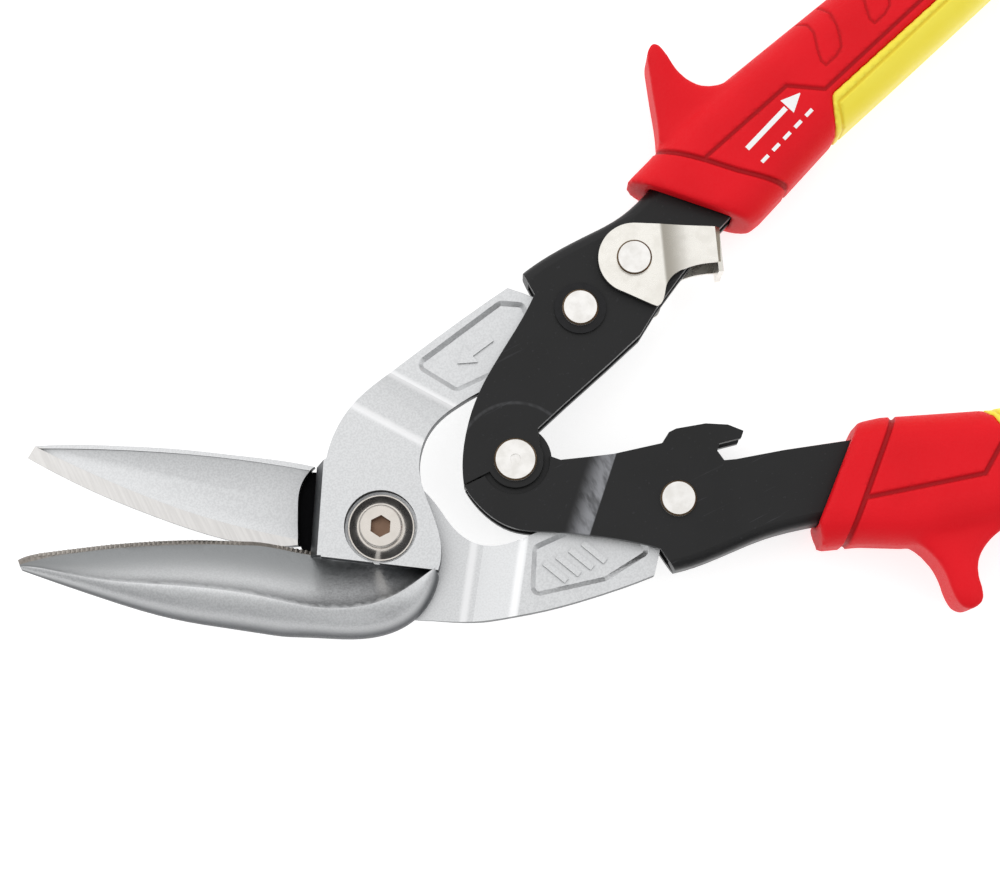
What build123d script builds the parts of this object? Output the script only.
from build123d import *
import math
import os

# Compound-action aviation snips, lying flat and held open by their spring.
# Millimetres. The design frame has the main pivot at (0, 0, 0), +X back along
# the handles' centre line, +Z along every pivot axis, and z = 0 in the plane
# where the two blades meet. TO_FLOOR moves it all to the middle of the floor.

# ---- driving dimensions -------------------------------------------------
GRIP_HALF = 10.5                     # half the thickness of a handle grip
TO_FLOOR = Location((-71.5, 2.4, GRIP_HALF))
UPPER_RIVET = (57.7, 22.45)          # jaw rivet in the upper handle
LOWER_RIVET = (57.7, -22.45)         # jaw rivet in the lower handle
HANDLE_PIVOT = (31.2, 0)             # rivet that joins the two handles
LATCH_PIVOT = (72.4, 26.6)           # rivet of the locking latch

BLADE_GAP = 0.06                     # each jaw stands this far off z = 0
JAW_TOP = 6.0                        # outer face of a jaw at the main pivot
TAIL_HALF = 2.5                      # half thickness of a jaw's tail
CHEEK_IN = 2.7                       # inner face of a handle cheek
SHEET = 2.5                          # thickness of the handle steel
CHEEK_OUT = CHEEK_IN + SHEET
JOGGLE = 0.5                         # the lower cheeks step outwards by this
LOW_IN = CHEEK_IN + JOGGLE
LOW_OUT = CHEEK_OUT + JOGGLE
LAP = 3.92                           # mid plane of the half lap at the handle pivot
RUNNING = 0.05                       # radial clearance of a pin that turns
TOUCH = 0.05                         # gap between two faces that slide

JAW_PIN = 3.0                        # radius of the jaw rivets' shanks
PIVOT_PIN = 3.2                      # radius of the handle pivot's shank
LATCH_PIN = 2.5                      # radius of the latch rivet's shank
BOLT = 4.0                           # radius of the main bolt, M8
BOLT_SLOP = 0.34                     # extra room round it in the lower-blade jaw
SINK = 7.6                           # radius of the counterbore for its head
SINK_FLOOR = 2.5                     # height of the counterbore's floor


# ---- helpers ------------------------------------------------------------
def face_of(*pieces):
    """One flat face inside a closed ring of lines, arcs and splines."""
    edges = [edge for piece in pieces for edge in piece.edges()]
    return Face(Wire(edges))


def slab(face, low, high):
    """The face in the XY plane, extruded from height low to height high."""
    return Pos(0, 0, low) * extrude(face, amount=high - low, dir=(0, 0, 1))


def disc(centre, radius, low, high):
    """A cylinder along Z between two heights."""
    return Pos(centre[0], centre[1], (low + high) / 2) * Cylinder(radius, high - low)


def ring(centre, outer, inner, low, high):
    return disc(centre, outer, low, high) - disc(centre, inner, low - 1, high + 1)


def mirrored(points):
    return [(x, -y) for x, y in points]


def band(profile, angle, reach=120):
    """A solid whose section across the direction 'angle' is the (s, z) profile."""
    across = Plane(origin=(0, 0, 0), x_dir=(math.cos(angle), math.sin(angle), 0),
                   z_dir=(math.sin(angle), -math.cos(angle), 0))
    return extrude(across * make_face(Polyline(*profile, close=True)), amount=reach, both=True)


def save(solid, name):
    """Write one node and keep it for the frame sizes printed at the end."""
    placed = TO_FLOOR * solid
    placed.label = name
    export_step(placed, f"parts/{name}.step")
    return placed


# ---- the two jaws -------------------------------------------------------
# Both are forgings: a blade, a plate round the main bolt and an arm that is
# joggled back to the middle plane, where its tail runs between two cheeks.
ARM_ANGLE = math.radians(34.8)       # direction along an arm at its joggle
RAMP_START = 19.5                    # distances along that direction
RAMP_END = 29.6


def arm_band(side):
    """Heights of a jaw along its arm: plate, ramp, tail. side is +1 or -1."""
    top = [(-150, JAW_TOP), (RAMP_START, JAW_TOP), (RAMP_END, TAIL_HALF), (150, TAIL_HALF)]
    foot = [(150, -TAIL_HALF), (RAMP_END + 1, -TAIL_HALF), (RAMP_START + 2, BLADE_GAP)]
    foot = foot + [(-150, BLADE_GAP)]
    profile = [(s, side * z) for s, z in top + foot]
    return band(profile, side * ARM_ANGLE)


# Stations of the lower blade: x, then y of its edge, rim and belly, and the rim's height
LOWER_BLADE = [
    (-70.7, 28.4, 26.7, 25.8, 1.7), (-66, 27.6, 23.6, 20.9, 3.3), (-60, 25.5, 18.7, 14.8, 5.0),
    (-52, 22.6, 13.2, 7.0, 6.6), (-44, 19.3, 8.4, 0.3, 7.6), (-36, 15.6, 3.4, -5.4, 8.2),
    (-28, 11.3, -2.4, -11.0, 8.6), (-20.5, 6.5, -8.4, -15.2, 8.8), (-14, 1.6, -12.1, -18.6, 8.8),
    (-8, -2.2, -13.9, -20.3, 8.6), (-2, -6.1, -14.1, -20.0, 8.0), (3, -9.4, -13.3, -17.6, 7.2),
    (6.2, -11.6, -12.7, -14.4, 6.2),
]
EDGE_LAND = 1.0                      # width and height of the serrated cutting edge


def trough_section(x, edge, rim, belly, height):
    """Flat back on z = 0, hollow trough up to the rim, then a rounded outside."""
    lip = (x, edge - EDGE_LAND * min(1, height / 4), EDGE_LAND * min(1, height / 4))
    top = (x, rim, height)
    hollow = (x, (lip[1] + rim) / 2, (lip[2] + height) / 2 - 0.13 * (edge - rim))
    heel = (x, belly, 0.7)
    bulge = (x, belly + 0.32 * (rim - belly), 0.7 + 0.68 * (height - 0.7))
    return face_of(Line((x, edge, 0), lip), ThreePointArc(lip, hollow, top),
                   ThreePointArc(top, bulge, heel), Line(heel, (x, belly, 0)),
                   Line((x, belly, 0), (x, edge, 0)))


S_OUTER = [(-13.8, 0), (-11, 5.2), (-8, 10.8), (-5, 16.1), (-2, 19.9), (3, 23.9), (10, 27.0),
           (20, 29.3), (32, 31.5), (42, 33.1), (46.3, 33.7)]
S_INNER = [(31, 16.5), (25, 16), (20, 14.6), (15, 11), (12.2, 6.5), (11.2, 2), (10.7, -3),
           (9.6, -8.5), (6.6, -13.4)]
TAIL_BOSS = 8.6                      # radius of a jaw's tail round its rivet


def arm_face(outer, inner, rivet, side, closing):
    """Outline of plate and arm; 'closing' are the pieces that join its blade end."""
    x, y = rivet
    shoulder = (48.6, side * 31.4)
    start = (x - TAIL_BOSS * math.cos(math.radians(42)), y + side * TAIL_BOSS * math.sin(math.radians(42)))
    end = (x - 1.5, y - side * math.sqrt(TAIL_BOSS**2 - 1.5**2))
    tip = (x + TAIL_BOSS, y)
    return face_of(Spline(*outer), Line(outer[-1], shoulder), Line(shoulder, start),
                   ThreePointArc(start, tip, end), Line(end, inner[0]), Spline(*inner), *closing)


POCKET_DEPTH = 0.8
MARK_LOW = TAIL_HALF - 1.0           # the raised marks stand on the pockets' floors
MARK_TOP = TAIL_HALF - 0.2


def pocket(points):
    """A shallow sunk panel on a tail's upper face with wide sloping walls."""
    panel = make_face(Polyline(*points, close=True))
    panel = fillet(panel.vertices(), 0.8)
    return Pos(0, 0, TAIL_HALF - POCKET_DEPTH) * extrude(panel, amount=POCKET_DEPTH + 0.01, taper=-52)


def mark(points, centre, angle):
    """A raised flat shape in a pocket, drawn about its own middle."""
    face = Pos(*centre) * Rot(0, 0, angle) * make_face(Polyline(*points, close=True))
    return slab(face, MARK_LOW, MARK_TOP)


def lower_blade_jaw():
    plate_line = Line((6.6, -13.4), (-13.8, 0))
    arm = arm_face(S_OUTER, S_INNER, UPPER_RIVET, 1, [plate_line])
    jaw = slab(arm, -9, 9) & arm_band(1)
    wall = make_face(Polyline((-15.9, 1.4), (-6.4, 17.7), (-3.2, 17.9), (-12, -0.6), close=True))
    draft = band([(-20, 6.0), (-12.75, 6.0), (-14.75, BLADE_GAP), (-20, BLADE_GAP)],
                 math.radians(-30.2))
    jaw += slab(wall, BLADE_GAP, JAW_TOP) - draft
    blade = loft([trough_section(*station) for station in LOWER_BLADE])
    jaw += Pos(0, 0, BLADE_GAP) * blade
    jaw -= disc((0, 0), BOLT + BOLT_SLOP, -1, JAW_TOP + 1)
    jaw -= disc((0, 0), SINK, SINK_FLOOR, JAW_TOP + 4)
    jaw -= disc(UPPER_RIVET, JAW_PIN + RUNNING, -9, 9)
    jaw -= pocket([(22.6, 27.2), (27.3, 19.6), (46, 19.2), (47, 28.8), (43.3, 31)])
    arrow = [(-4.6, 0), (-1, 2.3), (-1, 0.65), (4.4, 0.65), (4.4, -0.65), (-1, -0.65), (-1, -2.3)]
    return jaw + mark(arrow, (34.2, 24.8), 10)


CRM_OUTER = mirrored([(1.0, 21.8), (5, 24.1), (10, 26.5), (16, 28.6), (24, 30.8), (34, 32.7),
                      (42, 33.8), (46.3, 34.2)])
CRM_INNER = mirrored([(28.5, 15.3), (25, 15), (20, 13.9), (15.6, 10.7), (13.4, 6), (12.6, 1),
                      (11.4, -3.6), (7, -10.5)])
EDGE_LINE = [(-16.8, 4.9), (-23.5, 8.0), (-30.5, 13.2), (-40, 22.5), (-50, 33.8), (-59.7, 46.9)]
LAND_LINE = [(-16.7, 6.1), (-25, 12.8), (-35, 22), (-45, 33), (-52, 41.5), (-57.0, 48.1)]
SPINE_LINE = [(-57.2, 48.5), (-50, 45.2), (-40, 39.8), (-30, 34), (-20, 27.5), (-12, 22.2),
              (-6.5, 18)]
SLOT_ARC = [(-6.8, 18.2), (-9.4, 17.3), (-11.7, 15.4), (-13.8, 12.0), (-16.0, 7.5), (-17.6, 4.0)]
SLOT_DEPTH = 3.9                     # of the clearance slot behind the upper blade
BLADE_ANGLE = math.atan2(33.7, -42.9)    # direction from the heel of the upper blade to its tip
HOLLOW_RADIUS = 90                   # of the hollow-ground face, whose axis is a line along the blade
WEDGE_DROP = 4.7                     # how far a bevel's wedge falls
WEDGE_CLEAR = 9                      # and how far it runs on past the edge
# where the lower handle's cheek passes under this jaw as the handles close
CHEEK_SWEEP = [(15.9, -5.6), (17.7, -11.6), (22.4, -17.6), (31.2, -21.6), (38, -24.5), (38, -12),
               (20, -4)]


def bevel_cut(start, end, high, depth, width):
    """A wedge under the line start-end: from height 'high' it slopes down over 'width' sideways."""
    run = Vector(end[0] - start[0], end[1] - start[1], 0)
    frame = Plane(origin=(start[0], start[1], 0), x_dir=run.normalized(), z_dir=(0, 0, 1))
    clear = math.copysign(WEDGE_CLEAR, width)
    bottom = -depth - 4
    corners = [(0, high), (-width, high - WEDGE_DROP), (-width, bottom), (clear, bottom), (clear, high)]
    section = Plane.YZ * make_face(Polyline(*corners, close=True))
    return frame * extrude(section, amount=run.length + 60, both=True)


def upper_blade_jaw():
    heel = [Spline(CRM_INNER[-1], (1, 15), (-6.5, 18.0)), Spline(*reversed(SPINE_LINE)),
            Line(SPINE_LINE[0], EDGE_LINE[-1]), Spline(*reversed(EDGE_LINE)),
            Spline(EDGE_LINE[0], (-16.5, -2), (-11, -12.5), CRM_OUTER[0])]
    arm = arm_face(CRM_OUTER, CRM_INNER, LOWER_RIVET, -1, heel)
    jaw = slab(arm, -9, 9) & arm_band(-1)
    # hollow-ground face between the ground land and the spine
    hollow = face_of(Spline(*LAND_LINE), Line(LAND_LINE[-1], (-56.4, 47.5)),
                     Spline((-56.4, 47.5), (-40, 38.8), (-20, 26.5), (-7.6, 17.6)),
                     Spline((-7.6, 17.6), (-12.1, 12), LAND_LINE[0]))
    dish_axis = Plane(origin=(-32, 25.5, 88.9), x_dir=(0, 0, 1),
                      z_dir=(math.cos(BLADE_ANGLE), math.sin(BLADE_ANGLE), 0))
    jaw -= slab(hollow, -4, 1) & (dish_axis * Cylinder(HOLLOW_RADIUS, 160))
    slot = face_of(Spline(*SLOT_ARC), Polyline(SLOT_ARC[-1], (-14.4, 1.4), (-4.6, 18.4), SLOT_ARC[0]))
    jaw -= slab(slot, -SLOT_DEPTH, 1)
    # the back is bevelled down to the cutting edge and rounded off at the spine
    jaw -= bevel_cut(EDGE_LINE[2], EDGE_LINE[-1], -1.3, 9.0, 7.0)
    jaw -= bevel_cut(SPINE_LINE[-2], SPINE_LINE[0], -2.6, 9.0, -5.5)
    jaw -= slab(make_face(Polyline(*CHEEK_SWEEP, close=True)), -9, -TAIL_HALF - TOUCH)
    jaw -= disc((0, 0), BOLT, -9, 1)
    jaw -= disc(LOWER_RIVET, JAW_PIN + RUNNING, -9, 9)
    jaw -= pocket(mirrored([(22.6, 26.2), (27.0, 18.4), (45, 19.0), (47, 28.8), (37, 29.8)]))
    bar = [(-0.65, -3), (0.65, -3), (0.65, 3), (-0.65, 3)]
    for place in (28.3, 31.3, 34.3, 37.3):
        jaw += mark(bar, (place, -24.3), 24)
    return jaw


# ---- the two handles ----------------------------------------------------
# Each is one steel blank folded into a channel: two cheeks and a web between
# them on the outer side, from behind the jaw's tail to the end of the grip.
STOP_X = 19.3                        # left end of the stop edges where the handles meet
LOBE = 7.6                           # radius of the lower cheeks' round end
LOBE_ROOM = 7.9                      # and of the room for it inside the upper cheeks
BOSS = 5.9                           # radius of the upper cheeks' boss
BOSS_ROOM = 7.2                      # and of the recess for it in the lower cheeks
WEB_END = 50.4                       # x where the webs begin
FOLD = 2.2                           # outer radius of the folds along a web's edges
FOLD_START = 44                      # |y| beyond which an edge counts as one of those folds
FAR_END = 230                        # x beyond the end of both handles
SIDE_REACH = 60                      # |y| of the space cleared between two cheeks

U_LEFT = [(STOP_X, 0.15), (20.5, 3.2), (24.5, 9.6), (30, 15.4), (40, 22.3), (50.6, 29.5)]
U_OUTER = [(WEB_END, 34.8), (56, 35.7), (66, 36.1), (75, 36.6), (83, 39.0), (95, 42.2),
           (130, 51.0), (165, 60.0), (200, 69.5)]
U_INNER = [(202, 60.5), (165, 48.8), (130, 38.4), (108, 30.3), (90, 24.0), (80, 19.4), (72, 15.3),
           (66.5, 11.9), (58, 9.4), (46, 6.1), (38.4, 3.9)]
L_LEFT = [(STOP_X, -0.15), (20.3, -5.5), (24, -12), (32, -17.2), (38, -21), (49.7, -30)]
L_OUTER = [(WEB_END, -35.4), (60, -36.8), (70, -37.5), (78, -39.1), (88, -42.0), (100, -45.2),
           (135, -53.6), (170, -63.0), (202, -72.5)]
L_INNER = [(204, -63.0), (170, -52.3), (135, -42.0), (112, -34.0), (94.5, -27.4), (82, -23.3)]
HOOK = [(72.2, -20.5), (69.9, -19.6), (69.5, -17.2), (70.6, -16.0), (75.2, -17.0), (76.3, -15.9),
        (74, -13.3), (70, -11), (64, -9.2), (62.3, -9.2), (60, -10.6), (50, -8.1), (39.6, -4.2),
        (37.9, -2.4)]
JOGGLE_ANGLE = -math.pi / 4          # direction across the joggle of the lower cheeks
JOGGLE_START = 36.4
JOGGLE_END = 41.4


def folded_edge(blank, half, side):
    """Round both long outer edges of a blank along its web."""
    near = [edge for edge in blank.edges() if abs(abs(edge.center().Z) - half) < 0.01
            and edge.length > 60 and side * edge.center().Y > FOLD_START]
    return fillet(near, FOLD)


def channel(face, half, inner_half, web_points, side):
    """A folded channel: the blank less the space between its cheeks."""
    blank = folded_edge(slab(face, -half, half), half, side)
    inner_line = [(x, y - side * SHEET) for x, y in web_points]
    corners = [inner_line[-1], (FAR_END, inner_line[-1][1]), (FAR_END, -side * SIDE_REACH),
               (0, -side * SIDE_REACH), (0, side * SIDE_REACH), (WEB_END, side * SIDE_REACH),
               inner_line[0]]
    space = face_of(Spline(*inner_line), Polyline(*corners))
    return blank - slab(space, -inner_half, inner_half)


def upper_handle_channel():
    corner = (HANDLE_PIVOT[0] + BOSS, U_LEFT[0][1])
    face = face_of(Spline(*U_LEFT), Line(U_LEFT[-1], U_OUTER[0]), Spline(*U_OUTER),
                   Line(U_OUTER[-1], U_INNER[0]), Polyline(*U_INNER),
                   Line(U_INNER[-1], corner), Line(corner, U_LEFT[0]))
    handle = channel(face, CHEEK_OUT, CHEEK_IN, U_OUTER, 1)
    for low, high in ((CHEEK_IN - 1, LAP), (-LAP, -CHEEK_IN + 1)):
        handle -= disc(HANDLE_PIVOT, LOBE_ROOM, low, high)
    for low, high in ((LAP, CHEEK_OUT), (-CHEEK_OUT, -LAP)):
        handle += disc(HANDLE_PIVOT, BOSS, low, high)
    handle -= disc(HANDLE_PIVOT, PIVOT_PIN + RUNNING, -9, 9)
    handle -= disc(UPPER_RIVET, JAW_PIN, -9, 9)
    return handle - disc(LATCH_PIVOT, LATCH_PIN, -9, 9)


def lower_handle_channel():
    corner = (HOOK[-1][0], L_LEFT[0][1])
    face = face_of(Spline(*L_LEFT), Line(L_LEFT[-1], L_OUTER[0]), Spline(*L_OUTER),
                   Line(L_OUTER[-1], L_INNER[0]), Polyline(*L_INNER),
                   Line(L_INNER[-1], HOOK[0]), Polyline(*HOOK), Line(HOOK[-1], corner),
                   Line(corner, L_LEFT[0]))
    handle = channel(face, LOW_OUT, LOW_IN - JOGGLE, L_OUTER, -1)
    room = band([(JOGGLE_START, -CHEEK_IN), (JOGGLE_END, -LOW_IN), (300, -LOW_IN), (300, LOW_IN),
                 (JOGGLE_END, LOW_IN), (JOGGLE_START, CHEEK_IN)], JOGGLE_ANGLE, 250)
    web_inner = [(x, y + SHEET) for x, y in L_OUTER]
    below = face_of(Spline(*web_inner), Polyline(web_inner[-1], (FAR_END, 0), (20, 0), (20, -36),
                                                 web_inner[0]))
    handle -= room & slab(below, -9, 9)
    trim = [(-200, CHEEK_OUT), (JOGGLE_START, CHEEK_OUT), (JOGGLE_END, LOW_OUT), (JOGGLE_END, 20),
            (-200, 20)]
    for sign in (1, -1):
        handle -= band([(s, sign * z) for s, z in trim], JOGGLE_ANGLE, 250)
        low, high = sorted((sign * CHEEK_IN, sign * (LAP - TOUCH)))
        handle += disc(HANDLE_PIVOT, LOBE, low, high)
        low, high = sorted((sign * (LAP - TOUCH), sign * 9))
        handle -= disc(HANDLE_PIVOT, BOSS_ROOM, low, high)
    handle -= disc(HANDLE_PIVOT, PIVOT_PIN, -9, 9)
    return handle - disc(LOWER_RIVET, JAW_PIN, -9, 9)


# ---- latch: a nickel-plated stirrup that straddles the upper handle ------
EAR = 1.1                            # thickness of the latch sheet
EAR_LOW = 5.85                       # inner height of an ear beside the cross plate
EAR_HIGH = 6.5                       # and round its rivet
LATCH_ANGLE = math.atan2(-0.364, 0.931)
LATCH_BEND = 63.55                   # distances along that direction
LATCH_END = 76.3
LATCH_LEFT = [(67.1, 21.3), (71.3, 16.1), (72.9, 15.5), (74.2, 16.4), (75.8, 18.4), (78, 19.7),
              (81, 20.0), (84.5, 19.4), (88.4, 17.9)]


RAMP = [(0, 0), (0.2, 0.35), (0.45, 0.7), (0.72, 0.92), (1, 1)]     # shares of run and of drop
RAMP_RUN = 7.0                       # how far the ear takes to come down to EAR_LOW


def stirrup_half(sign):
    """One ear's section along the latch: high at the rivet, down a soft ramp, round to the cross plate."""
    drop = EAR_HIGH - EAR_LOW
    ramp = [(LATCH_BEND + RAMP_RUN * run, EAR_HIGH - drop * fall) for run, fall in RAMP]
    top = [(40, EAR_HIGH + EAR)] + [(s + 0.2, z + EAR) for s, z in ramp]
    top = top + [(LATCH_END - 1, EAR_LOW + EAR), (LATCH_END, EAR_LOW + EAR - 1), (LATCH_END, 0)]
    under = [(LATCH_END - EAR, 0), (LATCH_END - EAR, EAR_LOW)] + ramp[::-1] + [(40, EAR_HIGH)]
    return band([(s, sign * z) for s, z in top + under], LATCH_ANGLE, 60)


def latch_body():
    x, y = LATCH_PIVOT
    start = (x - 7.5 * math.cos(math.radians(45)), y - 7.5 * math.sin(math.radians(45)))
    end = (x + 7.5 * math.cos(math.radians(62)), y + 7.5 * math.sin(math.radians(62)))
    top = ThreePointArc(start, (x - 7.5 * math.cos(math.radians(25)),
                                y + 7.5 * math.sin(math.radians(25))), end)
    ear = face_of(Line(start, LATCH_LEFT[1]), Spline(*LATCH_LEFT[1:]), Line(LATCH_LEFT[-1], (91.6, 24.6)),
                  Line((91.6, 24.6), end), top)
    plate = make_face(Polyline((84.2, 17.4), (88.2, 15.9), (92.2, 23.6), (88, 22.6), close=True))
    ears = slab(ear, -9, 9)
    cross = slab(plate, -9, 9) & band([(LATCH_END - EAR, -EAR_LOW - 0.5), (LATCH_END, -EAR_LOW - 0.1),
                                       (LATCH_END, EAR_LOW + 0.1), (LATCH_END - EAR, EAR_LOW + 0.5)],
                                      LATCH_ANGLE, 60)
    latch = (ears & (stirrup_half(1) + stirrup_half(-1))) + cross
    relief = make_face(Polyline((84, 20.9), (96, 25.9), (96, 30), (84, 30), close=True))
    latch -= slab(relief, -CHEEK_OUT - 0.15, CHEEK_OUT + 0.15)
    return latch - disc(LATCH_PIVOT, LATCH_PIN + RUNNING, -9, 9)


# ---- rivets, bolt, washers and spring ------------------------------------
def rivet(centre, shank, head, seat, height, dimple=0.0):
    """A shank between two domed-edge heads that sit at heights +-seat."""
    pin = disc(centre, shank, -seat - 0.2, seat + 0.2)      # reaches into both heads
    for sign in (1, -1):
        low, high = sorted((sign * seat, sign * (seat + height)))
        cap = disc(centre, head, low, high)
        rim = cap.edges().filter_by(GeomType.CIRCLE).sort_by(Axis.Z)[-1 if sign > 0 else 0]
        pin += chamfer(rim, 0.35)
        if dimple:
            low, high = sorted((sign * (seat + height - 0.25), sign * (seat + height + 1)))
            pin -= disc(centre, dimple, low, high)
    return pin


def washer_pair(centre, outer, inner, low, high):
    """Two equal washers, one on each side of the middle plane."""
    return ring(centre, outer, inner, low, high) + ring(centre, outer, inner, -high, -low)


def pivot_bolt():
    head = disc((0, 0), 6.9, SINK_FLOOR + TOUCH, SINK_FLOOR + 1.2)
    cone = Pos(0, 0, SINK_FLOOR + 1.2 + 0.75) * Cone(6.6, 4.9, 1.5)
    crown = disc((0, 0), 4.5, SINK_FLOOR + 1.2, JAW_TOP + 0.9)
    crown = chamfer(crown.edges().filter_by(GeomType.CIRCLE).sort_by(Axis.Z)[-1], 0.4)
    bolt = head + cone + crown + disc((0, 0), BOLT, -10.2, SINK_FLOOR + 1)
    socket = Pos(0, 0, JAW_TOP - 2.2) * extrude(RegularPolygon(2.0, 6, major_radius=False), 4)
    return bolt - socket


NUT_FACE = -JAW_TOP - 0.8


def pivot_lock_nut():
    nut = Pos(0, 0, NUT_FACE - 3.4) * extrude(RegularPolygon(6.5, 6, major_radius=False), 3.4)
    cone = Pos(0, 0, NUT_FACE - 1.7) * Cone(6.4, 8.2, 3.4)
    return (nut & cone) - disc((0, 0), BOLT, -20, 0)


def pivot_lock_plate():
    """The toothed washer that keeps the nut from turning back."""
    plate = disc((0, 0), 8.4, NUT_FACE, -JAW_TOP) - disc((0, 0), BOLT, -20, 0)
    for turn in range(12):
        angle = turn * 30
        plate -= Rot(0, 0, angle) * Pos(8.7, 0, NUT_FACE + 0.4) * Cylinder(0.8, 2)
    return plate


WIRE = 0.78                          # radius of the torsion spring's wire
COIL = 6.0                           # mean radius of its coil


def torsion_spring():
    """Three close turns with two straight legs, one for each handle."""
    turns = [Pos(*HANDLE_PIVOT, z) * Torus(COIL, WIRE) for z in (-1.5, 0, 1.5)]
    spring = turns[0] + turns[1] + turns[2]
    for z, angle in ((1.5, 78), (-1.5, -78)):
        leg = Rot(0, 0, angle) * Pos(3.2, COIL * (-1 if angle > 0 else 1), 0) * Rot(0, 90, 0)
        spring += Pos(*HANDLE_PIVOT, z) * leg * Cylinder(WIRE - 0.02, 8.4)
    return spring


# ---- grips ---------------------------------------------------------------
# Moulded two-colour sleeves pressed over the channels, with a guard horn that
# keeps the hand off the jaws and a collar in front of it.
# Stations of a grip: a point of its inner edge, and its width square to its axis.
U_GRIP = [(84, 19.2, 23.6), (92, 20.9, 24.6), (101, 22.8, 27.0), (110, 26.2, 26.2),
          (122, 30.8, 24.4), (140, 35.9, 23.4), (165, 43.2, 21.4), (190, 50.6, 20.4),
          (209, 55.7, 21.6)]
L_GRIP = [(86, -21.8, 24.0), (94, -23.8, 25.0), (103, -26.0, 27.4), (112, -29.8, 26.6),
          (124, -34.8, 24.6), (142, -40.0, 23.4), (167, -47.6, 21.4), (192, -55.2, 20.4),
          (211, -60.5, 21.6)]
GRIP_ANGLE = 14.5                    # direction of the upper grip's axis, degrees
LOW_ANGLE = -15.2                    # and of the lower grip's
U_FRONT = [(78.8, 42.2), (95.9, 24.4)]
L_FRONT = [(76.4, -44.2), (98.9, -24.4)]
U_HORN = [(88.5, 46.5), (90.2, 50.5), (92.3, 57), (94.2, 62.6), (96.0, 65.8), (97.5, 66.3),
          (98.5, 64.8), (98.9, 60.8), (99.8, 57), (102, 53.8), (106, 52.0), (112, 53.0)]
L_HORN = [(92, -48.5), (96.2, -51.2), (99.0, -56), (99.8, -61), (99.2, -66), (99.9, -69.0),
          (102, -70.1), (104.4, -69.0), (105.4, -65.8), (106.8, -62.2), (110, -59.6), (116, -58.2)]
GRIP_ROUND = 7.0                     # radius of a grip's section at its corners
HORN_HALF = 7.5
INLAY_DEPTH = 1.8                    # how deep the soft inlay goes in at the side
INLAY_BED = 7.4                      # and the height where its flat sides begin
INLAY_FAR = 95                       # |y| beyond the outer side of both grips
END_STEPS = [(1.8, 0.7), (3.2, 2.2), (4.0, 4.4)]    # how the butt end rounds off


def sleeve(stations, angle, side):
    """A rounded bar lofted through the stations, with a rounded butt end."""
    turn = math.radians(angle)
    across = Vector(-math.sin(turn) * side, math.cos(turn) * side, 0)
    along = Vector(math.cos(turn), math.sin(turn), 0)

    def section(station, ahead=0.0, shrink=0.0):
        x, y, width = station
        middle = Vector(x, y, 0) + across * (width / 2) + along * ahead
        plane = Plane(origin=middle, x_dir=across, z_dir=along)
        outline = RectangleRounded(width - 2 * shrink, 2 * (GRIP_HALF - shrink),
                                   GRIP_ROUND - shrink / 2)
        return (plane * outline).face()

    bar = [section(station) for station in stations]
    butt = [section(stations[-1], ahead, shrink) for ahead, shrink in END_STEPS]
    return loft(bar + butt, ruled=True)


def grip_body(stations, angle, front, horn, side):
    """The sleeve's outer shape: cut off at the collar, with the guard horn."""
    body = sleeve(stations, angle, side)
    outer, inner = front
    ahead = make_face(Polyline(outer, inner, (inner[0] + 20, inner[1] - side * 20),
                               (40, inner[1] - side * 20), (40, outer[1] + side * 20),
                               (outer[0] - 20, outer[1] + side * 20), close=True))
    body -= slab(ahead, -20, 20)
    root = (horn[-1][0] - 4, horn[-1][1] - side * 9)     # inside the sleeve
    guard = face_of(Spline(*horn), Line(horn[-1], root), Line(root, horn[0]))
    return body + slab(guard, -HORN_HALF, HORN_HALF)


U_INLAY = [(121.3, 25), (123.4, 34), (125.2, 38.8), (160, 48.6), (192, 57.0), (199, 44), (150, 26)]
L_INLAY = [(122.5, -30), (123.4, -37), (125.2, -43.2), (160, -53.0), (197, -63.0), (202, -50),
           (150, -32)]


def inlay_bed(stations, side, inlay):
    """The space of the inlay: its region, less the block of hard plastic behind it."""
    line = [(x, y + side * INLAY_DEPTH) for x, y, width in stations]
    first, last = line[0], line[-1]
    far = side * INLAY_FAR
    behind = face_of(Spline(*line), Polyline(last, (last[0] + 8, last[1] + side * 3), (last[0], far),
                                             (first[0], far), first))
    region = make_face(Polyline(*inlay, close=True))
    return slab(region, -12, 12) - slab(behind, -INLAY_BED, INLAY_BED)


def grip_and_inlay(stations, angle, front, horn, side, inlay, steel):
    """A hard grip hollowed for its channel, and the soft inlay let into its inner side."""
    body = grip_body(stations, angle, front, horn, side)
    bed = inlay_bed(stations, side, inlay)
    return body - bed - steel, body & bed


def channel_block(outer, inner, half):
    """The whole block of space that a channel takes up inside its grip."""
    face = face_of(Spline(*outer), Line(outer[-1], inner[0]), Polyline(*inner),
                   Line(inner[-1], outer[0]))
    return slab(face, -half, half)


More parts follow.
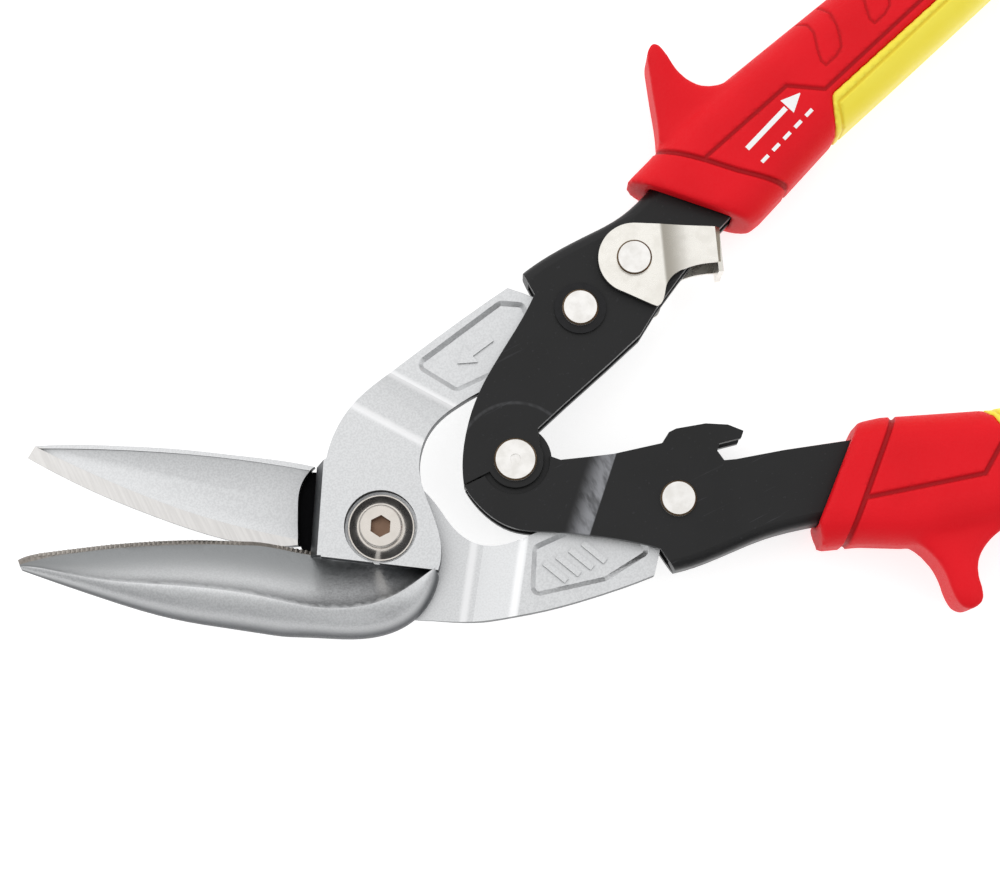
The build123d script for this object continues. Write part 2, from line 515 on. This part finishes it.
def hardware():
    """Rivets, washers, bolt, nut and spring by node name."""
    latch_seat = EAR_HIGH + EAR + TOUCH
    return {
        "pivot_bolt": pivot_bolt(),
        "pivot_lock_nut": pivot_lock_nut(),
        "pivot_lock_plate": pivot_lock_plate(),
        "upper_jaw_rivet": rivet(UPPER_RIVET, JAW_PIN, 3.8, CHEEK_OUT + 0.8, 1.2),
        "lower_jaw_rivet": rivet(LOWER_RIVET, JAW_PIN, 3.75, LOW_OUT, 1.3),
        "handle_pivot_rivet": rivet(HANDLE_PIVOT, PIVOT_PIN, 4.45, CHEEK_OUT + TOUCH, 1.3, 1.1),
        "latch_rivet": rivet(LATCH_PIVOT, LATCH_PIN, 3.7, latch_seat, 1.1),
        "jaw_rivet_washers": washer_pair(UPPER_RIVET, 5.4, JAW_PIN, CHEEK_OUT, CHEEK_OUT + 0.8),
        "jaw_thrust_washers": washer_pair(LOWER_RIVET, 6.2, JAW_PIN, TAIL_HALF + TOUCH, LOW_IN),
        "latch_spacers": washer_pair(LATCH_PIVOT, 5.0, LATCH_PIN, CHEEK_OUT, EAR_HIGH - TOUCH),
        "torsion_spring": torsion_spring(),
        "spring_bush": ring(HANDLE_PIVOT, 4.6, PIVOT_PIN, -CHEEK_IN, CHEEK_IN),
    }


def all_nodes():
    nodes = {
        "lower_blade_jaw": lower_blade_jaw(),
        "upper_blade_jaw": upper_blade_jaw(),
        "upper_handle_channel": upper_handle_channel(),
        "lower_handle_channel": lower_handle_channel(),
        "latch": latch_body(),
    }
    nodes.update(hardware())
    steel = channel_block(U_OUTER[3:], U_INNER[:6], CHEEK_OUT)
    grip, inlay = grip_and_inlay(U_GRIP, GRIP_ANGLE, U_FRONT, U_HORN, 1, U_INLAY, steel)
    nodes["upper_grip"] = grip
    nodes["upper_grip_inlay"] = inlay
    steel = channel_block(L_OUTER[3:], L_INNER, LOW_OUT)
    grip, inlay = grip_and_inlay(L_GRIP, LOW_ANGLE, L_FRONT, L_HORN, -1, L_INLAY, steel)
    nodes["lower_grip"] = grip
    nodes["lower_grip_inlay"] = inlay
    return nodes


if __name__ == "__main__":
    os.makedirs("parts", exist_ok=True)
    placed = [save(solid, name) for name, solid in all_nodes().items()]
    box = Compound(children=placed).bounding_box()
    print("lowest corner", box.min, "highest corner", box.max)
